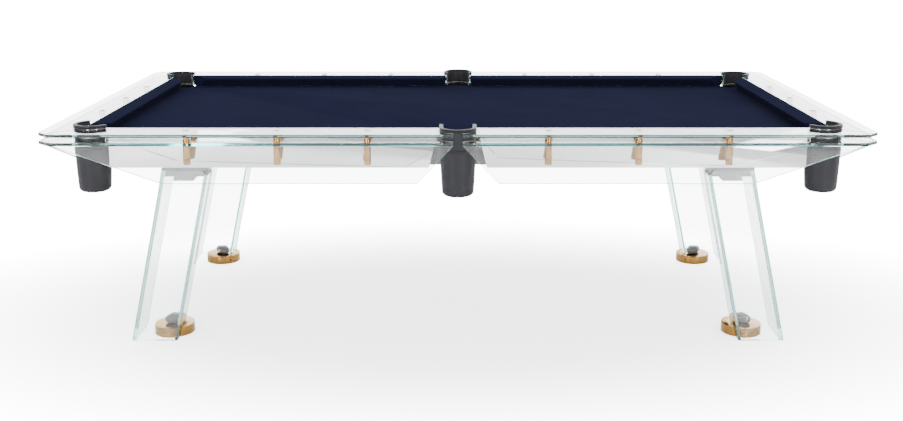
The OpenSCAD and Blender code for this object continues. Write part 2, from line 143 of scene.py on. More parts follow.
class MetalSettings(bpy.types.PropertyGroup):
    """Colours of the brass and steel"""
    brass: FloatVectorProperty(name="Brass", description="Colour of the polished brass",
                               subtype="COLOR", size=3, min=0, max=1, default=(0.36, 0.19, 0.052))
    steel: FloatVectorProperty(name="Steel", description="Colour of the polished steel",
                               subtype="COLOR", size=3, min=0, max=1, default=(0.70, 0.70, 0.69))
    segments: IntProperty(name="Round segments", description="Sides of a turned piece",
                          default=48, min=16, max=128)


class StudioSettings(bpy.types.PropertyGroup):
    """The studio's light and its camera"""
    lens: FloatProperty(name="Lens", description="Focal length of the camera", default=45.8)
    light: FloatProperty(name="Light", description="Strength of the studio's white", default=1.0,
                         min=0.1, max=4.0)
    white: FloatProperty(name="Backdrop", description="Brightness of the plain backdrop",
                         default=17.0, min=1.0, max=40.0)


SETTINGS = {
    "pool_leather": LeatherSettings,
    "pool_cloth": ClothSettings,
    "pool_glass": GlassSettings,
    "pool_metal": MetalSettings,
    "pool_studio": StudioSettings,
}


# ---------------------------------------------------------------- node tree helpers

class Tree:
    """Short calls for building a node tree: add a node, set its sockets, link them"""

    def __init__(self, tree):
        self.tree = tree

    def node(self, kind, props=None, **inputs):
        made = self.tree.nodes.new(kind)
        for name, value in (props or {}).items():
            setattr(made, name, value)
        for name, value in inputs.items():
            self.put(made, name.replace("_", " "), value)
        return made

    def put(self, node, socket, value):
        target = node.inputs[socket]
        if isinstance(value, bpy.types.NodeSocket):
            self.tree.links.new(value, target)
        else:
            target.default_value = value

    def maths(self, operation, first, second=0.0, clamp=False):
        made = self.tree.nodes.new("ShaderNodeMath")
        made.operation = operation
        made.use_clamp = clamp
        for i, value in enumerate((first, second)):
            self.put(made, i, value)
        return made.outputs[0]

    def ramp(self, value, low, high, to_low=0.0, to_high=1.0):
        made = self.node("ShaderNodeMapRange")
        for name, v in zip(("Value", "From Min", "From Max", "To Min", "To Max"),
                           (value, low, high, to_low, to_high)):
            self.put(made, name, v)
        return made.outputs["Result"]

    def mix(self, factor, first, second, blend="MIX"):
        made = self.node("ShaderNodeMix", {"data_type": "RGBA", "blend_type": blend})
        self.put(made, "Factor", factor)
        for socket, value in ((6, first), (7, second)):
            if not isinstance(value, bpy.types.NodeSocket) and len(value) == 3:
                value = (*value, 1.0)
            self.put(made, socket, value)
        return made.outputs[2]

    def noise(self, vector, scale, detail=2.0, rough=0.5):
        made = self.node("ShaderNodeTexNoise", Vector=vector, Scale=scale, Detail=detail,
                         Roughness=rough)
        return made.outputs["Fac"]


def effect_group(name, inputs, outputs, build):
    """A shader node group with named inputs and outputs, built once"""
    if name in bpy.data.node_groups:
        return bpy.data.node_groups[name]
    group = bpy.data.node_groups.new(name, "ShaderNodeTree")
    for label, kind, value in inputs:
        socket = group.interface.new_socket(label, in_out="INPUT", socket_type=kind)
        if value is not None:
            socket.default_value = value
    for label, kind in outputs:
        group.interface.new_socket(label, in_out="OUTPUT", socket_type=kind)
    tree = Tree(group)
    entry = group.nodes.new("NodeGroupInput")
    leave = group.nodes.new("NodeGroupOutput")
    for label, value in build(tree, entry.outputs).items():
        group.links.new(value, leave.inputs[label])
    return group


FLOAT, COLOUR, VECTOR = "NodeSocketFloat", "NodeSocketColor", "NodeSocketVector"


def scaled(tree, vector, scale):
    made = tree.node("ShaderNodeVectorMath", {"operation": "SCALE"})
    tree.put(made, 0, vector)
    tree.put(made, "Scale", scale)
    return made.outputs[0]


def build_polish(tree, given):
    """Fine wiping marks and soft smudges on a polished surface"""
    marks = tree.noise(scaled(tree, given["Vector"], given["Scale"]), 1.0, 6.0, 0.6)
    smudge = tree.noise(given["Vector"], 7.0, 3.0)
    both = tree.maths("ADD", tree.maths("MULTIPLY", marks, 0.6),
                      tree.maths("MULTIPLY", smudge, 0.4))
    rough = tree.maths("ADD", given["Base"],
                       tree.maths("MULTIPLY", tree.ramp(both, 0.35, 0.65), given["Spread"]))
    tone = tree.ramp(smudge, 0.3, 0.7, 0.94, 1.0)
    shade = tree.mix(1.0, given["Colour"], tree.mix(tone, (0, 0, 0), (1, 1, 1)), "MULTIPLY")
    return {"Roughness": rough, "Colour": shade, "Height": marks}


def polish():
    return effect_group(
        "polish_marks",
        [("Vector", VECTOR, None), ("Colour", COLOUR, (1, 1, 1, 1)), ("Scale", FLOAT, 60.0),
         ("Base", FLOAT, 0.05), ("Spread", FLOAT, 0.05)],
        [("Roughness", FLOAT), ("Colour", COLOUR), ("Height", FLOAT)], build_polish)


def build_weave(tree, given):
    """Crossing worsted threads with a faint nap; painted shade darkens the colour in the hollows
    between threads, under a random cloudy tone
    """
    parts = tree.node("ShaderNodeSeparateXYZ", Vector=given["Vector"])
    turn = tree.maths("DIVIDE", 2 * math.pi, given["Thread"])
    waves = []
    for axis in ("X", "Y"):
        slant = tree.maths("ADD", parts.outputs[axis],
                           tree.maths("MULTIPLY", parts.outputs["Z"], 0.83))
        waves.append(tree.maths("SINE", tree.maths("MULTIPLY", slant, turn)))
    threads = tree.maths("MULTIPLY", waves[0], waves[1])
    nap = tree.noise(given["Vector"], 900.0, 3.0, 0.7)
    cloud = tree.noise(given["Vector"], 5.0, 4.0, 0.6)
    height = tree.maths("ADD", tree.ramp(threads, -1.0, 1.0, 0.0, 0.6),
                        tree.maths("MULTIPLY", nap, 0.4))
    # painted shade: the colour follows the thread height, darker in the hollows between threads and
    # lighter on their crests, plus a random cloudy tone
    tone = tree.maths("ADD", tree.ramp(height, 0.2, 0.9, 0.78, 1.08),
                      tree.ramp(cloud, 0.3, 0.7, -0.07, 0.07))
    tint = tree.node("ShaderNodeCombineColor", Red=tone, Green=tone, Blue=tone)
    shade = tree.mix(1.0, given["Colour"], tint.outputs[0], "MULTIPLY")
    return {"Colour": shade, "Height": height, "Roughness": tree.ramp(nap, 0.3, 0.7, 0.82, 0.95)}


def weave():
    return effect_group(
        "worsted_weave",
        [("Vector", VECTOR, None), ("Colour", COLOUR, (1, 1, 1, 1)), ("Thread", FLOAT, 0.0012)],
        [("Colour", COLOUR), ("Height", FLOAT), ("Roughness", FLOAT)], build_weave)


def build_grain(tree, given):
    """Leather pebble grain with worn, lighter high spots"""
    cells = tree.node("ShaderNodeTexVoronoi", {"feature": "DISTANCE_TO_EDGE"},
                      Vector=given["Vector"], Scale=given["Scale"])
    pebble = tree.ramp(cells.outputs["Distance"], 0.0, 0.22)
    fine = tree.noise(given["Vector"], 1400.0, 2.0)
    patch = tree.noise(given["Vector"], 14.0, 4.0, 0.6)
    height = tree.maths("ADD", tree.maths("MULTIPLY", pebble, 0.75),
                        tree.maths("MULTIPLY", fine, 0.25))
    worn = tree.maths("MULTIPLY", tree.ramp(patch, 0.5, 0.8), given["Wear"])
    shade = tree.mix(worn, given["Colour"], (0.018, 0.018, 0.022))
    rough = tree.maths("SUBTRACT", tree.ramp(pebble, 0.0, 1.0, 0.60, 0.44),
                       tree.maths("MULTIPLY", worn, 0.12))
    return {"Colour": shade, "Height": height, "Roughness": rough}


def grain():
    return effect_group(
        "leather_grain",
        [("Vector", VECTOR, None), ("Colour", COLOUR, (0, 0, 0, 1)), ("Scale", FLOAT, 700.0),
         ("Wear", FLOAT, 0.4)],
        [("Colour", COLOUR), ("Height", FLOAT), ("Roughness", FLOAT)], build_grain)


# ---------------------------------------------------------------- materials

def new_material(name):
    """A material with an empty tree, its shader and the object's own coordinates"""
    made = bpy.data.materials.new(name)
    made.use_nodes = True
    made.node_tree.nodes.clear()
    tree = Tree(made.node_tree)
    shader = tree.node("ShaderNodeBsdfPrincipled")
    out = tree.node("ShaderNodeOutputMaterial")
    tree.tree.links.new(shader.outputs[0], out.inputs["Surface"])
    place = tree.node("ShaderNodeTexCoord").outputs["Object"]
    return made, tree, shader, out, place


def use_effect(tree, group, **inputs):
    made = tree.node("ShaderNodeGroup", {"node_tree": group})
    for name, value in inputs.items():
        if not isinstance(value, bpy.types.NodeSocket) and hasattr(value, "__len__"):
            value = (*value, 1.0)[:4]
        tree.put(made, name, value)
    return made.outputs


def add_bump(tree, shader, height, strength, distance):
    bump = tree.node("ShaderNodeBump", Height=height, Strength=strength, Distance=distance)
    tree.put(shader, "Normal", bump.outputs[0])


def glass_material(scene):
    """Low-iron glass: clear faces, teal cut edges, and shadows that let most light through"""
    made, tree, shader, out, place = new_material("low_iron_glass")
    cut = tree.node("ShaderNodeAttribute", {"attribute_name": "cut_edge"}).outputs["Fac"]
    uneven = tree.ramp(tree.noise(place, 9.0, 2.0), 0.3, 0.7, 0.75, 1.0)
    tint = tree.mix(tree.maths("MULTIPLY", cut, uneven), tuple(scene.pool_glass.face),
                    tuple(scene.pool_glass.edge))
    tree.put(shader, "Base Color", tint)
    marks = use_effect(tree, polish(), Vector=place, Scale=20.0, Base=0.0, Spread=0.012)
    tree.put(shader, "Roughness", tree.maths("ADD", marks["Roughness"],
                                             tree.maths("MULTIPLY", cut, 0.06)))
    shader.inputs["IOR"].default_value = 1.5
    shader.inputs["Transmission Weight"].default_value = 1.0
    rays = tree.node("ShaderNodeLightPath").outputs["Is Shadow Ray"]
    clear = tree.node("ShaderNodeBsdfTransparent")
    tree.put(clear, "Color", (0.90, 0.93, 0.93, 1.0))
    blend = tree.node("ShaderNodeMixShader")
    tree.put(blend, 0, rays)
    tree.put(blend, 1, shader.outputs[0])
    tree.put(blend, 2, clear.outputs[0])
    tree.put(out, "Surface", blend.outputs[0])
    return made


def cloth_material(scene):
    made, tree, shader, _, place = new_material("navy_worsted_cloth")
    threads = use_effect(tree, weave(), Vector=place, Colour=tuple(scene.pool_cloth.colour),
                         Thread=scene.pool_cloth.weave)
    # the weave colour carries painted shade in the hollows between the threads
    tree.put(shader, "Base Color", threads["Colour"])
    tree.put(shader, "Roughness", threads["Roughness"])
    shader.inputs["Sheen Weight"].default_value = 0.003
    shader.inputs["Sheen Roughness"].default_value = 0.5
    shader.inputs["Specular IOR Level"].default_value = 0.0
    add_bump(tree, shader, threads["Height"], 0.35, 0.0004)
    return made


def leather_material(scene):
    made, tree, shader, _, place = new_material("black_leather")
    skin = use_effect(tree, grain(), Vector=place, Colour=tuple(scene.pool_leather.colour),
                      Scale=620.0, Wear=0.2)
    tree.put(shader, "Base Color", skin["Colour"])
    tree.put(shader, "Roughness", skin["Roughness"])
    shader.inputs["Specular IOR Level"].default_value = 0.2
    add_bump(tree, shader, skin["Height"], 0.15, 0.0003)
    return made


def metal_material(name, colour, base, spread, scale, bump=0.0):
    made, tree, shader, _, place = new_material(name)
    shine = use_effect(tree, polish(), Vector=place, Colour=colour, Scale=scale, Base=base,
                       Spread=spread)
    tree.put(shader, "Base Color", shine["Colour"])
    tree.put(shader, "Roughness", shine["Roughness"])
    shader.inputs["Metallic"].default_value = 1.0
    if bump:
        add_bump(tree, shader, shine["Height"], bump, 0.0002)
    return made


def thread_material():
    made, tree, shader, _, place = new_material("white_thread")
    twist = tree.noise(place, 2500.0, 2.0)
    tree.put(shader, "Base Color", tree.mix(tree.ramp(twist, 0.3, 0.7), (0.62, 0.61, 0.58),
                                            (0.86, 0.85, 0.82)))
    shader.inputs["Roughness"].default_value = 0.75
    add_bump(tree, shader, twist, 0.3, 0.0002)
    return made


def stone_material():
    """Dark water-worn stone with a pale vein and a fine speckle"""
    made, tree, shader, _, place = new_material("dark_river_stone")
    warp = tree.noise(place, 22.0, 3.0)
    parts = tree.node("ShaderNodeSeparateXYZ", Vector=place)
    line = tree.maths("ADD", tree.maths("MULTIPLY", parts.outputs["X"], 38.0),
                      tree.maths("ADD", tree.maths("MULTIPLY", parts.outputs["Y"], 55.0),
                                 tree.maths("MULTIPLY", warp, 3.0)))
    vein = tree.ramp(tree.maths("ABSOLUTE", tree.maths("SINE", line)), 0.0, 0.09, 1.0, 0.0)
    speck = tree.ramp(tree.noise(place, 420.0, 2.0), 0.4, 0.7)
    body = tree.mix(speck, (0.022, 0.023, 0.025), (0.07, 0.073, 0.075))
    tree.put(shader, "Base Color", tree.mix(vein, body, (0.52, 0.50, 0.45)))
    tree.put(shader, "Roughness", tree.ramp(speck, 0.0, 1.0, 0.45, 0.62))
    add_bump(tree, shader, speck, 0.25, 0.0004)
    return made


def slate_material():
    made, tree, shader, _, place = new_material("honed_slate")
    layers = tree.noise(place, 30.0, 6.0, 0.65)
    tree.put(shader, "Base Color", tree.mix(tree.ramp(layers, 0.3, 0.7), (0.07, 0.078, 0.085),
                                            (0.15, 0.16, 0.17)))
    tree.put(shader, "Roughness", tree.ramp(layers, 0.3, 0.7, 0.7, 0.55))
    add_bump(tree, shader, layers, 0.3, 0.0006)
    return made


def wood_material():
    made, tree, shader, _, place = new_material("sealed_hardwood")
    parts = tree.node("ShaderNodeSeparateXYZ", Vector=place)
    stretch = tree.node("ShaderNodeCombineXYZ", X=tree.maths("MULTIPLY", parts.outputs["X"], 6.0),
                        Y=tree.maths("MULTIPLY", parts.outputs["Y"], 90.0),
                        Z=tree.maths("MULTIPLY", parts.outputs["Z"], 90.0))
    rings = tree.noise(stretch.outputs[0], 1.0, 5.0, 0.6)
    tree.put(shader, "Base Color", tree.mix(tree.ramp(rings, 0.3, 0.7), (0.30, 0.18, 0.09),
                                            (0.50, 0.33, 0.18)))
    tree.put(shader, "Roughness", tree.ramp(rings, 0.3, 0.7, 0.5, 0.65))
    add_bump(tree, shader, rings, 0.2, 0.0004)
    return made


def coat_material(name, colour, base):
    """Powder coat or rubber: a fine orange-peel skin"""
    made, tree, shader, _, place = new_material(name)
    peel = tree.noise(place, 900.0, 2.0)
    cloud = tree.noise(place, 6.0, 3.0)
    dark = tuple(0.8 * c for c in colour)
    tree.put(shader, "Base Color", tree.mix(tree.ramp(cloud, 0.3, 0.7), dark, colour))
    tree.put(shader, "Roughness", tree.ramp(peel, 0.3, 0.7, base, base + 0.12))
    add_bump(tree, shader, peel, 0.15, 0.0003)
    return made


def seen_directly(tree):
    """1 for what the camera sees, straight on or through glass, and 0 for light and reflections"""
    rays = tree.node("ShaderNodeLightPath").outputs
    turned = tree.maths("ADD", rays["Diffuse Depth"], rays["Glossy Depth"])
    return tree.maths("SUBTRACT", 1.0, turned, clamp=True)


def floor_material():
    """Pale floor that runs out into the white backdrop"""
    made, tree, shader, out, place = new_material("studio_floor")
    cloud = tree.noise(place, 0.6, 2.0)
    tree.put(shader, "Base Color", tree.mix(tree.ramp(cloud, 0.3, 0.7), (0.85, 0.85, 0.86),
                                            (0.88, 0.88, 0.885)))
    shader.inputs["Roughness"].default_value = 0.5
    shader.inputs["Specular IOR Level"].default_value = 0.3
    parts = tree.node("ShaderNodeSeparateXYZ", Vector=place)
    wide = tree.maths("DIVIDE", parts.outputs["X"], 1.9)
    deep = tree.maths("DIVIDE", tree.maths("ADD", parts.outputs["Y"], 0.2), 1.05)
    away = tree.maths("SQRT", tree.maths("ADD", tree.maths("MULTIPLY", wide, wide),
                                         tree.maths("MULTIPLY", deep, deep)))
    fade = tree.ramp(tree.maths("POWER", tree.ramp(away, 0.45, 1.25), 2.0), 0.0, 1.0, 0.11, 1.0)
    glow = tree.node("ShaderNodeEmission", Strength=bpy.context.scene.pool_studio.white)
    blend = tree.node("ShaderNodeMixShader")
    tree.put(blend, 0, tree.maths("MULTIPLY", fade, seen_directly(tree)))
    tree.put(blend, 1, shader.outputs[0])
    tree.put(blend, 2, glow.outputs[0])
    tree.put(out, "Surface", blend.outputs[0])
    return made


MADE = {}


def material(name):
    """Each finish is made once, when the first piece asks for it"""
    scene = bpy.context.scene
    makers = {
        "glass": lambda: glass_material(scene),
        "cloth": lambda: cloth_material(scene),
        "leather": lambda: leather_material(scene),
        "brass": lambda: metal_material("polished_brass", tuple(scene.pool_metal.brass),
                                        0.10, 0.10, 90.0, 0.02),
        "screw": lambda: metal_material("bronze_heads", (0.17, 0.11, 0.055), 0.20, 0.12, 120.0, 0.02),
        "mirror": lambda: metal_material("mirror_steel", tuple(scene.pool_metal.steel),
                                         0.03, 0.03, 12.0),
        "bracket": lambda: metal_material("brushed_steel", (0.20, 0.20, 0.21), 0.3, 0.15, 150.0, 0.1),
        "thread": thread_material,
        "stone": stone_material,
        "slate": slate_material,
        "wood": wood_material,
        "frame": lambda: coat_material("powder_coated_frame", (0.10, 0.10, 0.105), 0.45),
        "rubber": lambda: coat_material("black_rubber", (0.02, 0.02, 0.02), 0.6),
        "floor": floor_material,
    }
    if name not in MADE:
        MADE[name] = makers[name]()
    return MADE[name]


# ---------------------------------------------------------------- mesh helpers

def link(name, mesh, *finishes):
    made = bpy.data.objects.new(name, mesh)
    bpy.context.scene.collection.objects.link(made)
    for finish in finishes:
        mesh.materials.append(material(finish))
    return made


def mesh_object(name, verts, faces, *finishes):
    mesh = bpy.data.meshes.new(name)
    mesh.from_pydata([tuple(v) for v in verts], [], faces)
    mesh.validate()
    bm = bmesh.new()
    bm.from_mesh(mesh)
    bmesh.ops.remove_doubles(bm, verts=bm.verts, dist=1e-6)
    bmesh.ops.recalc_face_normals(bm, faces=bm.faces)
    bm.to_mesh(mesh)
    bm.free()
    mesh.polygons.foreach_set("use_smooth", [True] * len(mesh.polygons))
    return link(name, mesh, *finishes)


def add_modifier(piece, kind, **values):
    modifier = piece.modifiers.new(kind.lower(), kind)
    for name, value in values.items():
        setattr(modifier, name, value)
    return modifier


def apply_modifiers(piece):
    """Turns a piece with live modifiers into one plain mesh"""
    view = bpy.context.evaluated_depsgraph_get()
    mesh = bpy.data.meshes.new_from_object(piece.evaluated_get(view))
    piece.modifiers.clear()
    old = piece.data
    piece.data = mesh
    bpy.data.meshes.remove(old)
    mesh.name = piece.name
    return piece


def settle(piece, body, slot, *nodes):
    """Puts a finished piece on its body and hides what it stands for; the slot it is given is not
    used
    """
    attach(piece, body)
    if nodes:
        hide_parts(*nodes)
    return piece


def cad_copy(node, name, finish):
    """A merged copy of a CAD node with flat faces joined, ready for bevels"""
    bm = bmesh.new()
    bm.from_mesh(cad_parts[node].data)
    bmesh.ops.remove_doubles(bm, verts=bm.verts, dist=1e-5)
    bmesh.ops.dissolve_limit(bm, angle_limit=math.radians(0.5), verts=bm.verts, edges=bm.edges)
    mesh = bpy.data.meshes.new(name)
    bm.to_mesh(mesh)
    bm.free()
    mesh.materials.clear()
    return link(name, mesh, finish)


def sharp_bevel(piece, width, segments=2, angle=35.0):
    add_modifier(piece, "BEVEL", width=width, segments=segments, limit_method="ANGLE",
                 angle_limit=math.radians(angle), use_clamp_overlap=True, harden_normals=True)
    piece.data.polygons.foreach_set("use_smooth", [True] * len(piece.data.polygons))
    return apply_modifiers(piece)


def lathe(profile, place, segments):
    """Verts and faces of a turned shape: profile is a list of (radius, height), top to bottom"""
    verts, faces = [], []
    for i in range(segments):
        turn = 2 * math.pi * i / segments
        for radius, height in profile:
            verts.append((place.x + radius * math.cos(turn), place.y + radius * math.sin(turn),
                          height))
    count = len(profile)
    for i in range(segments):
        after = (i + 1) % segments
        for j in range(count - 1):
            faces.append((i * count + j, i * count + j + 1, after * count + j + 1,
                          after * count + j))
    return verts, faces


def join(parts):
    """One list of verts and faces from several"""
    verts, faces = [], []
    for part_verts, part_faces in parts:
        base = len(verts)
        verts += part_verts
        faces += [tuple(base + i for i in face) for face in part_faces]
    return verts, faces


def arc(cx, cz, radius, start, end, steps):
    """Points on a round stretch of a profile, angles in degrees"""
    return [(cx + radius * math.cos(math.radians(start + (end - start) * i / steps)),
             cz + radius * math.sin(math.radians(start + (end - start) * i / steps)))
            for i in range(steps + 1)]


def sweep(path, section, side):
    """A closed section of (across, up) points swept along a level path; side gives the across
    direction at each path point"""
    verts, faces = [], []
    for point, across in zip(path, side):
        verts += [point + across * a + Vector((0, 0, b)) for a, b in section]
    count = len(section)
    for i in range(len(path) - 1):
        for j in range(count):
            k = (j + 1) % count
            faces.append((i * count + j, i * count + k, (i + 1) * count + k, (i + 1) * count + j))
    faces.append(tuple(range(count)))
    faces.append(tuple((len(path) - 1) * count + j for j in range(count)))
    return verts, faces


# ---------------------------------------------------------------- glass

def mark_cut_edges(piece):
    """Writes cut_edge: 1 on the narrow ground edges of each plate, 0 on its two large faces"""
    mesh = piece.data
    bm = bmesh.new()
    bm.from_mesh(mesh)
    bm.faces.ensure_lookup_table()
    island = [-1] * len(bm.faces)
    count = 0
    for first in bm.faces:
        if island[first.index] >= 0:
            continue
        stack = [first]
        island[first.index] = count
        while stack:
            for edge in stack.pop().edges:
                for other in edge.link_faces:
                    if island[other.index] < 0:
                        island[other.index] = count
                        stack.append(other)
        count += 1
    main = []
    for i in range(count):
        largest = max((f for f in bm.faces if island[f.index] == i), key=lambda f: f.calc_area())
        main.append(largest.normal.copy())
    values = []
    for face in bm.faces:
        flat = abs(face.normal.dot(main[island[face.index]]))
        values.append(1.0 if flat < 0.98 else 0.0)
    bm.free()
    attribute = mesh.attributes.new("cut_edge", "FLOAT", "FACE")
    attribute.data.foreach_set("value", values)


def glass_piece(node):
    piece = cad_copy(node, node + "_plate", "glass")
    sharp_bevel(piece, bpy.context.scene.pool_glass.bevel, 1)
    piece.data.polygons.foreach_set("use_smooth", [False] * len(piece.data.polygons))
    mark_cut_edges(piece)
    return settle(piece, "root", "clear_glass", node)


class POOL_OT_glass(bpy.types.Operator):
    """Rails, shelves and aprons in bevelled low-iron glass"""
    bl_idname = "pool.glass_top"
    bl_label = "Glass rails, shelves and aprons"

    def execute(self, context):
        for layer in ("rail_glass_", "shelf_glass_", "apron_glass_"):
            for part in GLASS_PARTS:
                glass_piece(layer + part)
        return {"FINISHED"}


class POOL_OT_legs(bpy.types.Operator):
    """Slanted glass legs"""
    bl_idname = "pool.glass_legs"
    bl_label = "Glass legs"

    def execute(self, context):
        for corner in CORNERS:
            glass_piece("leg_glass_" + corner)
        return {"FINISHED"}


# ---------------------------------------------------------------- cloth

class POOL_OT_cloth(bpy.types.Operator):
    """Bed cloth stretched over the slate, and the cloth-covered cushions"""
    bl_idname = "pool.cloth"
    bl_label = "Bed cloth and cushions"

    def execute(self, context):
        bed = cad_copy("bed_cloth", "bed_cloth_sheet", "cloth")
        sharp_bevel(bed, 0.0008, 2)
        settle(bed, "root", "navy_cloth", "bed_cloth")
        for part in GLASS_PARTS:
            cushion_piece(part)
        return {"FINISHED"}


def cushion_section():
    """Rounded cushion section as (outward from the nose, height), with the cloth's soft corners"""
    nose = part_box("cushion_far_left")[0]
    back = BACK_Y - NOSE_Y
    nose_z = CUSHION_TOP - 0.007 - 0.0002
    lip = 0.0032
    foot = 0.022
    points = [(back, CUSHION_TOP - 0.0004)]
    points += [(back - 0.012, CUSHION_TOP - 0.0008), (back * 0.5, CUSHION_TOP - 0.0028),
               (0.008, nose_z + 0.0012)]
    points += [(lip + x, z) for x, z in arc(0.0, nose_z - lip, lip, 100, 205, 8)]
    points += [(0.010, nose_z - 0.0165), (0.017, nose.z + 0.010), (0.0195, nose.z + 0.004),
               (foot - 0.0004, nose.z + 0.0004), (foot, CUSHION_TOP - 0.0125),
               (back, CUSHION_TOP - 0.0122)]
    return points


def cushion_piece(part):
    """One cushion, its facings cut back at both pockets"""
    points = cushion_section()
    depth = BACK_Y - NOSE_Y
    end = part.endswith("end")
    sx = 1 if "right" in part else -1
    sy = 1 if "far" in part else -1
    tight = math.tan(math.radians(CORNER_FACING))
    steep = math.tan(math.radians(MIDDLE_FACING))
    gap = 0.0004
    corner_mouth = CORNER_MOUTH / math.sqrt(2)
    stations = 40
    path_verts, faces = [], []
    if end:
        near = -(NOSE_Y - corner_mouth)
        span = [(near, -1 / tight), (-near, 1 / tight)]
    else:
        span = [(MIDDLE_MOUTH_HALF, -1 / steep), (NOSE_X - corner_mouth, 1 / tight)]
    for i in range(stations + 1):
        t = i / stations
        for out, height in points:
            limit = max(out - gap, 0)
            a = span[0][0] + span[0][1] * limit
            b = span[1][0] + span[1][1] * limit
            along = a + (b - a) * t
            if end:
                path_verts.append((sx * (NOSE_X + out), along, height))
            else:
                path_verts.append((sx * along, sy * (NOSE_Y + out), height))
    count = len(points)
    for i in range(stations):
        for j in range(count):
            k = (j + 1) % count
            faces.append((i * count + j, i * count + k, (i + 1) * count + k, (i + 1) * count + j))
    faces.append(tuple(range(count)))
    faces.append(tuple(stations * count + j for j in range(count)))
    # a facing closes each end over the wooden backing
    inner = ((0.0215, points[-3][1]), (depth, points[-3][1]), (depth, CUSHION_TOP - 0.012),
             (0.0215, CUSHION_TOP - 0.012))
    for (start, slope), inward in zip(span, (1, -1)):
        base = len(path_verts)
        for shift in (0.0, FACING_THICK):
            for out, height in inner:
                along = start + slope * max(out - gap, 0) + inward * shift
                path_verts.append((sx * (NOSE_X + out), along, height) if end
                                  else (sx * along, sy * (NOSE_Y + out), height))
        faces += [(base, base + 1, base + 2, base + 3), (base + 4, base + 5, base + 6, base + 7)]
        faces += [(base + j, base + (j + 1) % 4, base + 4 + (j + 1) % 4, base + 4 + j)
                  for j in range(4)]
    piece = mesh_object("cushion_cover_" + part, path_verts, faces, "cloth")
    sharp_bevel(piece, 0.0012, 3, 40)
    settle(piece, "root", "navy_cloth", "cushion_" + part)


# ---------------------------------------------------------------- pockets

def pocket_place(pocket):
    """Middle of a pocket, the unit direction of its mouth and its throat's straight length"""
    cup = centre("pocket_cup_" + pocket)
    sx = -1 if "left" in pocket else 1
    sy = -1 if "near" in pocket else 1
    if "middle" in pocket:
        middle_y = GLASS_INNER_Y + MIDDLE_POCKET_OUT
        return Vector((0, sy * middle_y, 0)), Vector((0, -sy, 0)), middle_y - GLASS_INNER_Y
    return Vector((cup.x, cup.y, 0)), Vector((-sx, -sy, 0)).normalized(), CORNER_STRAIGHT


def throat_path(pocket, radius, arc_steps=28, leg_steps=6, trim=0.0):
    """A level U around a pocket: path points and the outward direction at each"""
    middle, mouth, straight = pocket_place(pocket)
    side = Vector((-mouth.y, mouth.x, 0))
    path, across = [], []
    reach = straight - trim
    for i in range(leg_steps):
        path.append(middle + side * radius + mouth * reach * (1 - i / leg_steps))
        across.append(side.copy())
    for i in range(arc_steps + 1):
        turn = math.pi * i / arc_steps
        out = side * math.cos(turn) - mouth * math.sin(turn)
        path.append(middle + out * radius)
        across.append(out)
    for i in range(1, leg_steps + 1):
        path.append(middle - side * radius + mouth * reach * (i / leg_steps))
        across.append(-side)
    return path, across


def roll_section(half, high, steps=18):
    """A padded roll's section, half wide and high tall on either side of its middle"""
    return [(half * math.cos(2 * math.pi * i / steps), high * math.sin(2 * math.pi * i / steps))
            for i in range(steps)]


def rounded_run(path, side, size, steps=6):
    """The path with a round end at both sides, and how full its section is at each station"""
    run, across, full = list(path), list(side), []
    spread = [0.0]
    for a, b in zip(path, path[1:]):
        spread.append(spread[-1] + (b - a).length)
    for d in spread:
        near_end = min(d, spread[-1] - d)
        full.append(1.0 + 0.14 * math.exp(-(near_end / 0.011) ** 2))
    first, last = (run[0] - run[1]).normalized(), (run[-1] - run[-2]).normalized()
    start, end = run[0], run[-1]
    for i in range(1, steps + 1):
        turn = math.radians(86 * i / steps)
        run.insert(0, start + first * size * math.sin(turn))
        across.insert(0, side[0])
        full.insert(0, 1.14 * math.cos(turn))
        run.append(end + last * size * math.sin(turn))
        across.append(side[-1])
        full.append(1.14 * math.cos(turn))
    return run, across, full


def rim_piece(pocket):
    """Two stacked padded rolls on the glass, with a sunk welt between them"""
    roll = bpy.context.scene.pool_leather.roll
    quarter = (RIM_TOP - RIM_LOW) / 4
    path, side = throat_path(pocket, RIM_RADIUS, 48, 10)
    parts = []
    for height, half in ((RIM_LOW + quarter, roll), (RIM_TOP - quarter, roll * 1.02)):
        run, across, full = rounded_run(path, side, half * 0.9)
        section = roll_section(half, quarter * 1.02)
        verts, faces = sweep(run, section, across)
        count = len(section)
        for i, (point, size) in enumerate(zip(run, full)):
            for j in range(count):
                vert = verts[i * count + j]
                flat = Vector((vert.x, vert.y, 0)) - Vector((point.x, point.y, 0))
                verts[i * count + j] = Vector((point.x, point.y, height)) + flat * size \
                    + Vector((0, 0, vert.z * min(size, 1.0)))
        parts.append((verts, faces))
    welt = [(-roll * 0.55, RIM_LOW + 0.002), (roll * 0.62, RIM_LOW + 0.002),
            (roll * 0.62, RIM_TOP - 0.002), (-roll * 0.55, RIM_TOP - 0.002)]
    parts.append(sweep(path, welt, side))
    verts, faces = join(parts)
    piece = mesh_object("rim_roll_" + pocket, verts, faces, "leather")
    settle(piece, "root", "black_leather", "pocket_rim_" + pocket)


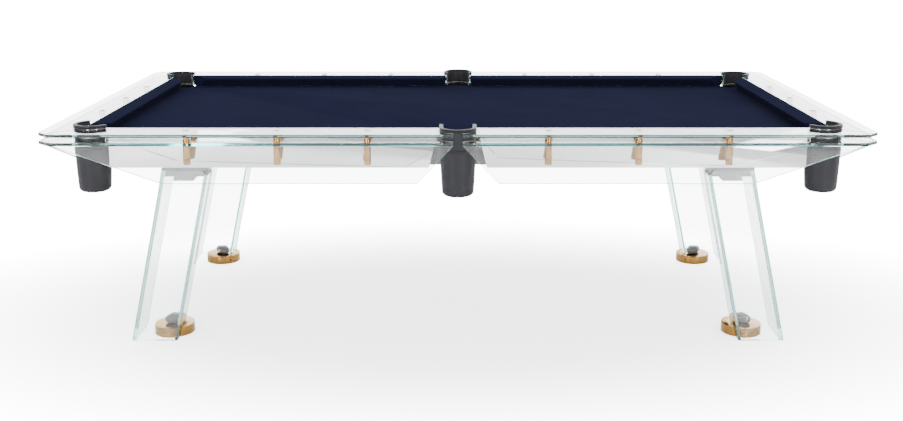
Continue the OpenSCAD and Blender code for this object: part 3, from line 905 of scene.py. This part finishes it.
def cup_profile():
    """Outer and inner profile of a cup as (radius, height), with its seams and round foot"""
    top = CUP_RADIUS
    foot = top - bpy.context.scene.pool_leather.taper
    seam = SHELF_UNDER - 0.017
    wall = 0.0036
    bend = 0.016
    outer = [(top - 0.0022, SHELF_UNDER - 0.0006), (top - 0.0012, SHELF_UNDER - 0.004),
             (top - 0.0008, seam + 0.0042)]
    for shift in (0.0, -0.0052):
        outer += [(top - 0.0009, seam + shift + 0.0028), (top, seam + shift + 0.0018),
                  (top, seam + shift + 0.0006), (top - 0.0015, seam + shift - 0.0008)]
    low = CUP_FOOT + bend
    start = seam - 0.0075
    for i in range(1, 13):
        t = i / 13
        belly = 0.0009 * math.sin(math.pi * t)
        outer.append((top - 0.0012 + (foot - top) * t + belly, start + (low - start) * t))
    outer += arc(foot - 0.0012 - bend, low, bend, 0, -84, 9)
    outer += [(foot - bend - 0.0060, CUP_FOOT + 0.0006), (foot - bend - 0.0072, CUP_FOOT + 0.0014),
              (foot - bend - 0.0088, CUP_FOOT + 0.0005), (0.012, CUP_FOOT + 0.0003),
              (0, CUP_FOOT + 0.0003)]
    inner = [(0, CUP_FOOT + wall), (foot - bend - 0.004, CUP_FOOT + wall)]
    inner += arc(foot - 0.0012 - bend, low, bend - wall, -80, 0, 6)
    inner += [(top - wall - 0.002, start), (top - wall - 0.001, CLOTH_TOP - 0.010),
              (top - wall - 0.002, CLOTH_TOP - 0.005)]
    return outer, inner


def cup_piece(pocket):
    """The leather bag below the bed, its lined throat and, at a middle pocket, its strap"""
    middle, mouth, _ = pocket_place(pocket)
    segments = 72
    outer, inner = cup_profile()
    parts = []
    profile = outer + inner
    # above the cloth the wall stays only away from the mouth
    count = len(profile)
    verts, faces = [], []
    back = -mouth
    for i in range(segments):
        turn = 2 * math.pi * i / segments
        away = math.cos(turn) * back.x + math.sin(turn) * back.y
        ceiling = CLOTH_TOP - 0.0045 if away < 0.15 else 9.0
        for radius, height in profile:
            verts.append((middle.x + radius * math.cos(turn), middle.y + radius * math.sin(turn),
                          min(height, ceiling)))
    for i in range(segments):
        after = (i + 1) % segments
        for j in range(count):
            k = (j + 1) % count
            faces.append((i * count + j, i * count + k, after * count + k, after * count + j))
    parts.append((verts, faces))
    # throat lining from the shoulder up to the rim
    path, side = throat_path(pocket, LINING_RADIUS, 40, 8, trim=-0.0021)
    low, high = CLOTH_TOP - 0.006, RIM_LOW + 0.003
    lining = [(-0.0017, low), (0.0017, low), (0.0017, high), (-0.0017, high)]
    parts.append(sweep(path, lining, side))
    verts, faces = join(parts)
    piece = mesh_object("leather_cup_" + pocket, verts, faces, "leather")
    sharp_bevel(piece, 0.0007, 2, 50)
    settle(piece, "root", "black_leather", "pocket_cup_" + pocket)
    collar_piece(pocket)
    if "middle" in pocket:
        neck_piece(pocket)


def collar_piece(pocket):
    """Leather collar that fills the gap between the two glass layers"""
    path, side = throat_path(pocket, COLLAR_RADIUS, 40, 4, trim=0.006)
    low, high = SHELF_TOP + 0.0004, RAIL_UNDER - 0.0004
    bulge = 0.0008
    section = [(-0.0022, low), (0.0016, low), (0.0020 + bulge, (low + high) / 2),
               (0.0016, high), (-0.0022, high)]
    verts, faces = sweep(path, section, side)
    piece = mesh_object("throat_collar_" + pocket, verts, faces, "leather")
    sharp_bevel(piece, 0.0006, 2, 50)
    settle(piece, "root", "black_leather")


def neck_piece(pocket):
    """Strap that runs from the rim down through the gap in the glass and spreads onto the cup"""
    middle, mouth, _ = pocket_place(pocket)
    side = Vector((-mouth.y, mouth.x, 0))
    rows, columns = 26, 13
    top, low = RIM_LOW + 0.002, SHELF_UNDER - 0.018
    reach_top = 0.0600
    verts, faces = [], []
    for layer in (0.0, -0.0022):
        for i in range(rows + 1):
            t = i / rows
            height = top + (low - top) * t
            spread = max(0.0, (RAIL_UNDER - height) / (RAIL_UNDER - low))
            half = 0.0135 + (0.050 - 0.0135) * max(0.0, (t - 0.62) / 0.38) ** 1.3
            for j in range(columns + 1):
                s = -1 + 2 * j / columns
                across = half * s
                ring = CUP_RADIUS + 0.0006 + layer
                bow = math.sqrt(max(ring * ring - across * across, 0.0))
                flat = reach_top + layer - 0.0010 * s * s
                out = flat + (bow - flat) * min(1.0, spread * 1.2)
                verts.append(middle + side * across - mouth * out + Vector((0, 0, height)))
    stride = columns + 1
    layer_size = (rows + 1) * stride
    for base in (0, layer_size):
        for i in range(rows):
            for j in range(columns):
                a = base + i * stride + j
                faces.append((a, a + 1, a + stride + 1, a + stride))
    rim = ([j for j in range(stride)] + [i * stride + columns for i in range(1, rows + 1)]
           + [rows * stride + j for j in range(columns - 1, -1, -1)]
           + [i * stride for i in range(rows - 1, 0, -1)])
    for i, a in enumerate(rim):
        b = rim[(i + 1) % len(rim)]
        faces.append((a, b, b + layer_size, a + layer_size))
    piece = mesh_object("pocket_strap_" + pocket, verts, faces, "leather")
    settle(piece, "root", "black_leather")


def stitch_tree():
    """Geometry nodes: a row of short thread stitches along a curve"""
    name = "stitch_row"
    if name in bpy.data.node_groups:
        return bpy.data.node_groups[name]
    group = bpy.data.node_groups.new(name, "GeometryNodeTree")
    sockets = (("Geometry", "NodeSocketGeometry", None), ("Pitch", FLOAT, 0.006),
               ("Length", FLOAT, 0.0045), ("Thickness", FLOAT, 0.0006),
               ("Thread", "NodeSocketMaterial", None))
    for label, kind, value in sockets:
        socket = group.interface.new_socket(label, in_out="INPUT", socket_type=kind)
        if value is not None:
            socket.default_value = value
    group.interface.new_socket("Geometry", in_out="OUTPUT", socket_type="NodeSocketGeometry")
    tree = Tree(group)
    entry = group.nodes.new("NodeGroupInput").outputs
    leave = group.nodes.new("NodeGroupOutput")
    row = tree.node("GeometryNodeMeshToCurve", Mesh=entry["Geometry"])
    dots = tree.node("GeometryNodeResampleCurve", {"mode": "LENGTH"}, Curve=row.outputs[0],
                     Length=entry["Pitch"])
    points = tree.node("GeometryNodeCurveToPoints", {"mode": "EVALUATED"}, Curve=dots.outputs[0])
    half = tree.maths("DIVIDE", entry["Length"], 2.0)
    bead = tree.node("GeometryNodeMeshUVSphere", Segments=6, Rings=5, Radius=1.0)
    size = tree.node("ShaderNodeCombineXYZ", X=entry["Thickness"], Y=entry["Thickness"], Z=half)
    copies = tree.node("GeometryNodeInstanceOnPoints", Points=points.outputs[0],
                       Instance=bead.outputs[0], Rotation=points.outputs["Rotation"],
                       Scale=size.outputs[0])
    real = tree.node("GeometryNodeRealizeInstances", Geometry=copies.outputs[0])
    smooth = tree.node("GeometryNodeSetShadeSmooth", Geometry=real.outputs[0])
    finish = tree.node("GeometryNodeSetMaterial", Geometry=smooth.outputs[0],
                       Material=entry["Thread"])
    group.links.new(finish.outputs[0], leave.inputs[0])
    return group


def run_geometry(piece, group, **values):
    """Runs a geometry tree on a piece and keeps the result as its plain mesh"""
    modifier = piece.modifiers.new(group.name, "NODES")
    modifier.node_group = group
    for item in group.interface.items_tree:
        if item.item_type == "SOCKET" and item.in_out == "INPUT" and item.name in values:
            modifier[item.identifier] = values[item.name]
    return apply_modifiers(piece)


def stitch_rows(name, rows):
    """Thread stitches along several open lines of points"""
    verts, edges = [], []
    for row in rows:
        base = len(verts)
        verts += [tuple(p) for p in row]
        edges += [(base + i, base + i + 1) for i in range(len(row) - 1)]
    mesh = bpy.data.meshes.new(name)
    mesh.from_pydata(verts, edges, [])
    piece = link(name, mesh)
    length = bpy.context.scene.pool_leather.stitch
    run_geometry(piece, stitch_tree(), Pitch=length * 1.45, Length=length, Thickness=0.0006,
                 Thread=material("thread"))
    return settle(piece, "root", "black_leather")


def pocket_stitches(pocket):
    """White stitching down both mouth edges and along the foot of the throat lining"""
    path, _ = throat_path(pocket, STITCH_RADIUS, 40, 8, trim=0.004)
    rows = [[p + Vector((0, 0, CLOTH_TOP + 0.0015)) for p in path]]
    path, _ = throat_path(pocket, STITCH_RADIUS, 40, 8, trim=0.0045)
    for end in (path[0], path[-1]):
        rows.append([end + Vector((0, 0, CLOTH_TOP + 0.004 + 0.036 * i / 8)) for i in range(9)])
    return stitch_rows("stitching_" + pocket, rows)


class POOL_OT_pockets(bpy.types.Operator):
    """Leather cups, rims, collars and stitching"""
    bl_idname = "pool.pockets"
    bl_label = "Leather pockets"

    def execute(self, context):
        for pocket in POCKETS:
            rim_piece(pocket)
            cup_piece(pocket)
            pocket_stitches(pocket)
        return {"FINISHED"}


# ---------------------------------------------------------------- metal

def sight_places():
    """Middle of each sight screw, found from the separate solids of its node"""
    bm = bmesh.new()
    bm.from_mesh(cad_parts["post_caps"].data)
    bmesh.ops.remove_doubles(bm, verts=bm.verts, dist=1e-5)
    bm.verts.ensure_lookup_table()
    seen, places = set(), []
    for first in bm.verts:
        if first in seen:
            continue
        stack, group = [first], []
        seen.add(first)
        while stack:
            vert = stack.pop()
            group.append(vert.co.copy())
            for edge in vert.link_edges:
                other = edge.other_vert(vert)
                if other not in seen:
                    seen.add(other)
                    stack.append(other)
        xs = [p.x for p in group]
        ys = [p.y for p in group]
        places.append(Vector(((min(xs) + max(xs)) / 2, (min(ys) + max(ys)) / 2, 0)))
    bm.free()
    return places


def turned_group(name, node, profile, finish, slot):
    """The same turned shape at every sight, as one piece"""
    segments = bpy.context.scene.pool_metal.segments
    verts, faces = join([lathe(profile, place, segments) for place in sight_places()])
    piece = mesh_object(name, verts, faces, finish)
    return settle(piece, "root", slot, node)


def round_corner(radius, height, size, inside):
    """A small rounded corner of a turned profile; inside is 1 at a top corner and -1 below"""
    if inside > 0:
        return arc(radius - size, height - size, size, 90, 0, 3)
    return arc(radius - size, height + size, size, 0, -90, 3)


class POOL_OT_sights(bpy.types.Operator):
    """Sight screws, spacer sleeves, brass posts and their caps"""
    bl_idname = "pool.sights"
    bl_label = "Sights and brass posts"

    def execute(self, context):
        low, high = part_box("sight_screws")
        screw = [(0, high.z - SOCKET_DEPTH), (SOCKET_RADIUS, high.z - SOCKET_DEPTH),
                 (SOCKET_RADIUS, high.z - 0.0004), (SOCKET_RADIUS + 0.0004, high.z)]
        screw += round_corner(HEAD_RADIUS, high.z, 0.0007, 1)
        screw += [(HEAD_RADIUS, high.z - 0.0036), (SHANK_RADIUS, high.z - 0.0039),
                  (SHANK_RADIUS, low.z), (0, low.z)]
        turned_group("sight_screw_heads", "sight_screws", screw, "screw", "sight_bronze")
        low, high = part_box("spacer_sleeves")
        sleeve = [(BORE_RADIUS, high.z), *round_corner(SLEEVE_RADIUS, high.z, 0.0006, 1),
                  *round_corner(SLEEVE_RADIUS, low.z, 0.0006, -1), (BORE_RADIUS, low.z),
                  (BORE_RADIUS, high.z)]
        turned_group("brass_sleeves", "spacer_sleeves", sleeve, "brass", "polished_brass")
        low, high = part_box("sight_posts")
        post = [(BORE_RADIUS, high.z), *round_corner(POST_RADIUS, high.z, 0.0008, 1),
                *round_corner(POST_RADIUS, low.z, 0.0009, -1), (BORE_RADIUS, low.z),
                (BORE_RADIUS, high.z)]
        turned_group("brass_posts", "sight_posts", post, "brass", "polished_brass")
        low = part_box("post_caps")[0]
        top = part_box("sight_posts")[0].z - 0.0003
        cap = [(0, top + 0.004), (SHANK_RADIUS, top + 0.004), (SHANK_RADIUS, top),
               *round_corner(POST_RADIUS, top, 0.0009, 1),
               *round_corner(POST_RADIUS, low.z, 0.0016, -1), (0.0042, low.z),
               (0.0036, low.z + 0.0012), (0, low.z + 0.0012)]
        turned_group("brass_caps", "post_caps", cap, "brass", "polished_brass")
        return {"FINISHED"}


class POOL_OT_chassis(bpy.types.Operator):
    """Mirror-polished side panels, beams, brackets, slate and backing"""
    bl_idname = "pool.chassis"
    bl_label = "Chassis and bed"

    def execute(self, context):
        for node, name, finish, slot, bevel in (
                ("chassis_panels", "polished_side_panels", "mirror", "mirror_steel", 0.0008),
                ("chassis_beams", "frame_tubes", "frame", "frame_steel", 0.002),
                ("leg_brackets", "leg_heads", "bracket", "bracket_steel", 0.0015),
                ("slate_slabs", "slate_bed", "slate", "slate", 0.0012),
                ("cushion_backing", "cushion_rails", "wood", "wood_backing", 0.001)):
            piece = cad_copy(node, name, finish)
            sharp_bevel(piece, bevel, 2)
            settle(piece, "root", slot, node)
        return {"FINISHED"}


# ---------------------------------------------------------------- feet

class POOL_OT_feet(bpy.types.Operator):
    """Brass discs, stones and levelling feet"""
    bl_idname = "pool.feet"
    bl_label = "Feet"

    def execute(self, context):
        discs = cad_copy("foot_discs", "brass_foot_discs", "brass")
        sharp_bevel(discs, 0.0016, 3)
        settle(discs, "root", "polished_brass", "foot_discs")
        stones = cad_copy("foot_stones", "river_stones", "stone")
        add_modifier(stones, "REMESH", mode="VOXEL", voxel_size=STONE_VOXEL, use_smooth_shade=True)
        add_modifier(stones, "SMOOTH", factor=0.6, iterations=STONE_SMOOTHING)
        apply_modifiers(stones)
        settle(stones, "root", "stone", "foot_stones")
        for corner in CORNERS:
            for part, finish, slot, bevel in (("glide", "rubber", "glide_rubber", 0.0006),
                                              ("screw", "bracket", "zinc_steel", 0.0004)):
                node = "foot_%s_%s" % (part, corner)
                piece = cad_copy(node, "level_%s_%s" % (part, corner), finish)
                sharp_bevel(piece, bevel, 2)
                settle(piece, node, slot, node)
        return {"FINISHED"}


# ---------------------------------------------------------------- studio

class POOL_OT_studio(bpy.types.Operator):
    """Pale floor, white surround, soft lights and the camera"""
    bl_idname = "pool.studio"
    bl_label = "Studio"

    def execute(self, context):
        scene = context.scene
        corners = [(x * FLOOR_HALF, y * FLOOR_HALF, -0.0002)
                   for x, y in ((-1, -1), (1, -1), (1, 1), (-1, 1))]
        floor = mesh_object("studio_floor", corners, [(0, 1, 2, 3)], "floor")
        self.surround(scene)
        self.lights(scene)
        self.camera(scene)
        return {"FINISHED"}

    def surround(self, scene):
        """White behind the table; its light comes mostly from above and behind"""
        world = bpy.data.worlds.new("white_surround")
        world.use_nodes = True
        world.node_tree.nodes.clear()
        tree = Tree(world.node_tree)
        way = tree.node("ShaderNodeSeparateXYZ",
                        Vector=tree.node("ShaderNodeTexCoord").outputs["Generated"])
        above = tree.maths("MULTIPLY", tree.maths("MAXIMUM", way.outputs["Z"], 0.0), 1.3)
        behind = tree.maths("MULTIPLY", tree.maths("MAXIMUM", way.outputs["Y"], 0.0), 4.2)
        level = tree.maths("ADD", tree.maths("ADD", above, behind), 0.75)
        soft = tree.maths("MULTIPLY", level, scene.pool_studio.light)
        lit = tree.node("ShaderNodeBackground", Strength=soft)
        plain = tree.node("ShaderNodeBackground", Strength=scene.pool_studio.white)
        for back in (lit, plain):
            back.inputs["Color"].default_value = (1.0, 1.0, 1.0, 1.0)
        blend = tree.node("ShaderNodeMixShader")
        tree.put(blend, 0, seen_directly(tree))
        tree.put(blend, 1, lit.outputs[0])
        tree.put(blend, 2, plain.outputs[0])
        out = tree.node("ShaderNodeOutputWorld")
        tree.put(out, "Surface", blend.outputs[0])
        scene.world = world

    def lights(self, scene):
        """Two tall softboxes in front of the table"""
        for name, x in SOFTBOX_SIDES:
            data = bpy.data.lights.new(name, "AREA")
            data.shape = "RECTANGLE"
            data.size, data.size_y = SOFTBOX_SIZE
            data.energy = SOFTBOX_POWER
            light = bpy.data.objects.new(name, data)
            light.location = (x, -4.0, 1.5)
            light.rotation_euler = (Vector((0, 0, 0.6)) - light.location).to_track_quat(
                "-Z", "Y").to_euler()
            scene.collection.objects.link(light)

    def camera(self, scene):
        data = bpy.data.cameras.new("view")
        data.lens = scene.pool_studio.lens
        data.sensor_width = 36.0
        data.shift_x, data.shift_y = CAMERA_SHIFT
        camera = bpy.data.objects.new("view", data)
        camera.location = CAMERA_PLACE
        camera.rotation_euler = (math.radians(90 - CAMERA_PITCH), 0, 0)
        scene.collection.objects.link(camera)
        scene.camera = camera


# ---------------------------------------------------------------- panel and registration

class POOL_PT_panel(bpy.types.Panel):
    """Lists the settings and the steps"""
    bl_idname = "POOL_PT_panel"
    bl_label = "Pool table"
    bl_space_type = "VIEW_3D"
    bl_region_type = "UI"
    bl_category = "Pool table"

    def draw(self, context):
        for name in SETTINGS:
            box = self.layout.box()
            group = getattr(context.scene, name)
            for prop in group.bl_rna.properties:
                if prop.identifier not in ("rna_type", "name"):
                    box.prop(group, prop.identifier)
        for step in STEPS:
            self.layout.operator(step.bl_idname)


STEPS = (POOL_OT_studio, POOL_OT_glass, POOL_OT_legs, POOL_OT_cloth, POOL_OT_pockets,
         POOL_OT_sights, POOL_OT_chassis, POOL_OT_feet)
CLASSES = (*SETTINGS.values(), *STEPS, POOL_PT_panel)


def register():
    for item in CLASSES:
        bpy.utils.register_class(item)
    for name, group in SETTINGS.items():
        setattr(bpy.types.Scene, name, PointerProperty(type=group))


def unregister():
    for name in SETTINGS:
        delattr(bpy.types.Scene, name)
    for item in reversed(CLASSES):
        bpy.utils.unregister_class(item)


def main():
    register()
    for step in STEPS:
        area, name = step.bl_idname.split(".")
        getattr(getattr(bpy.ops, area), name)()
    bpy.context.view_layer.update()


if __name__ == "__main__":
    main()
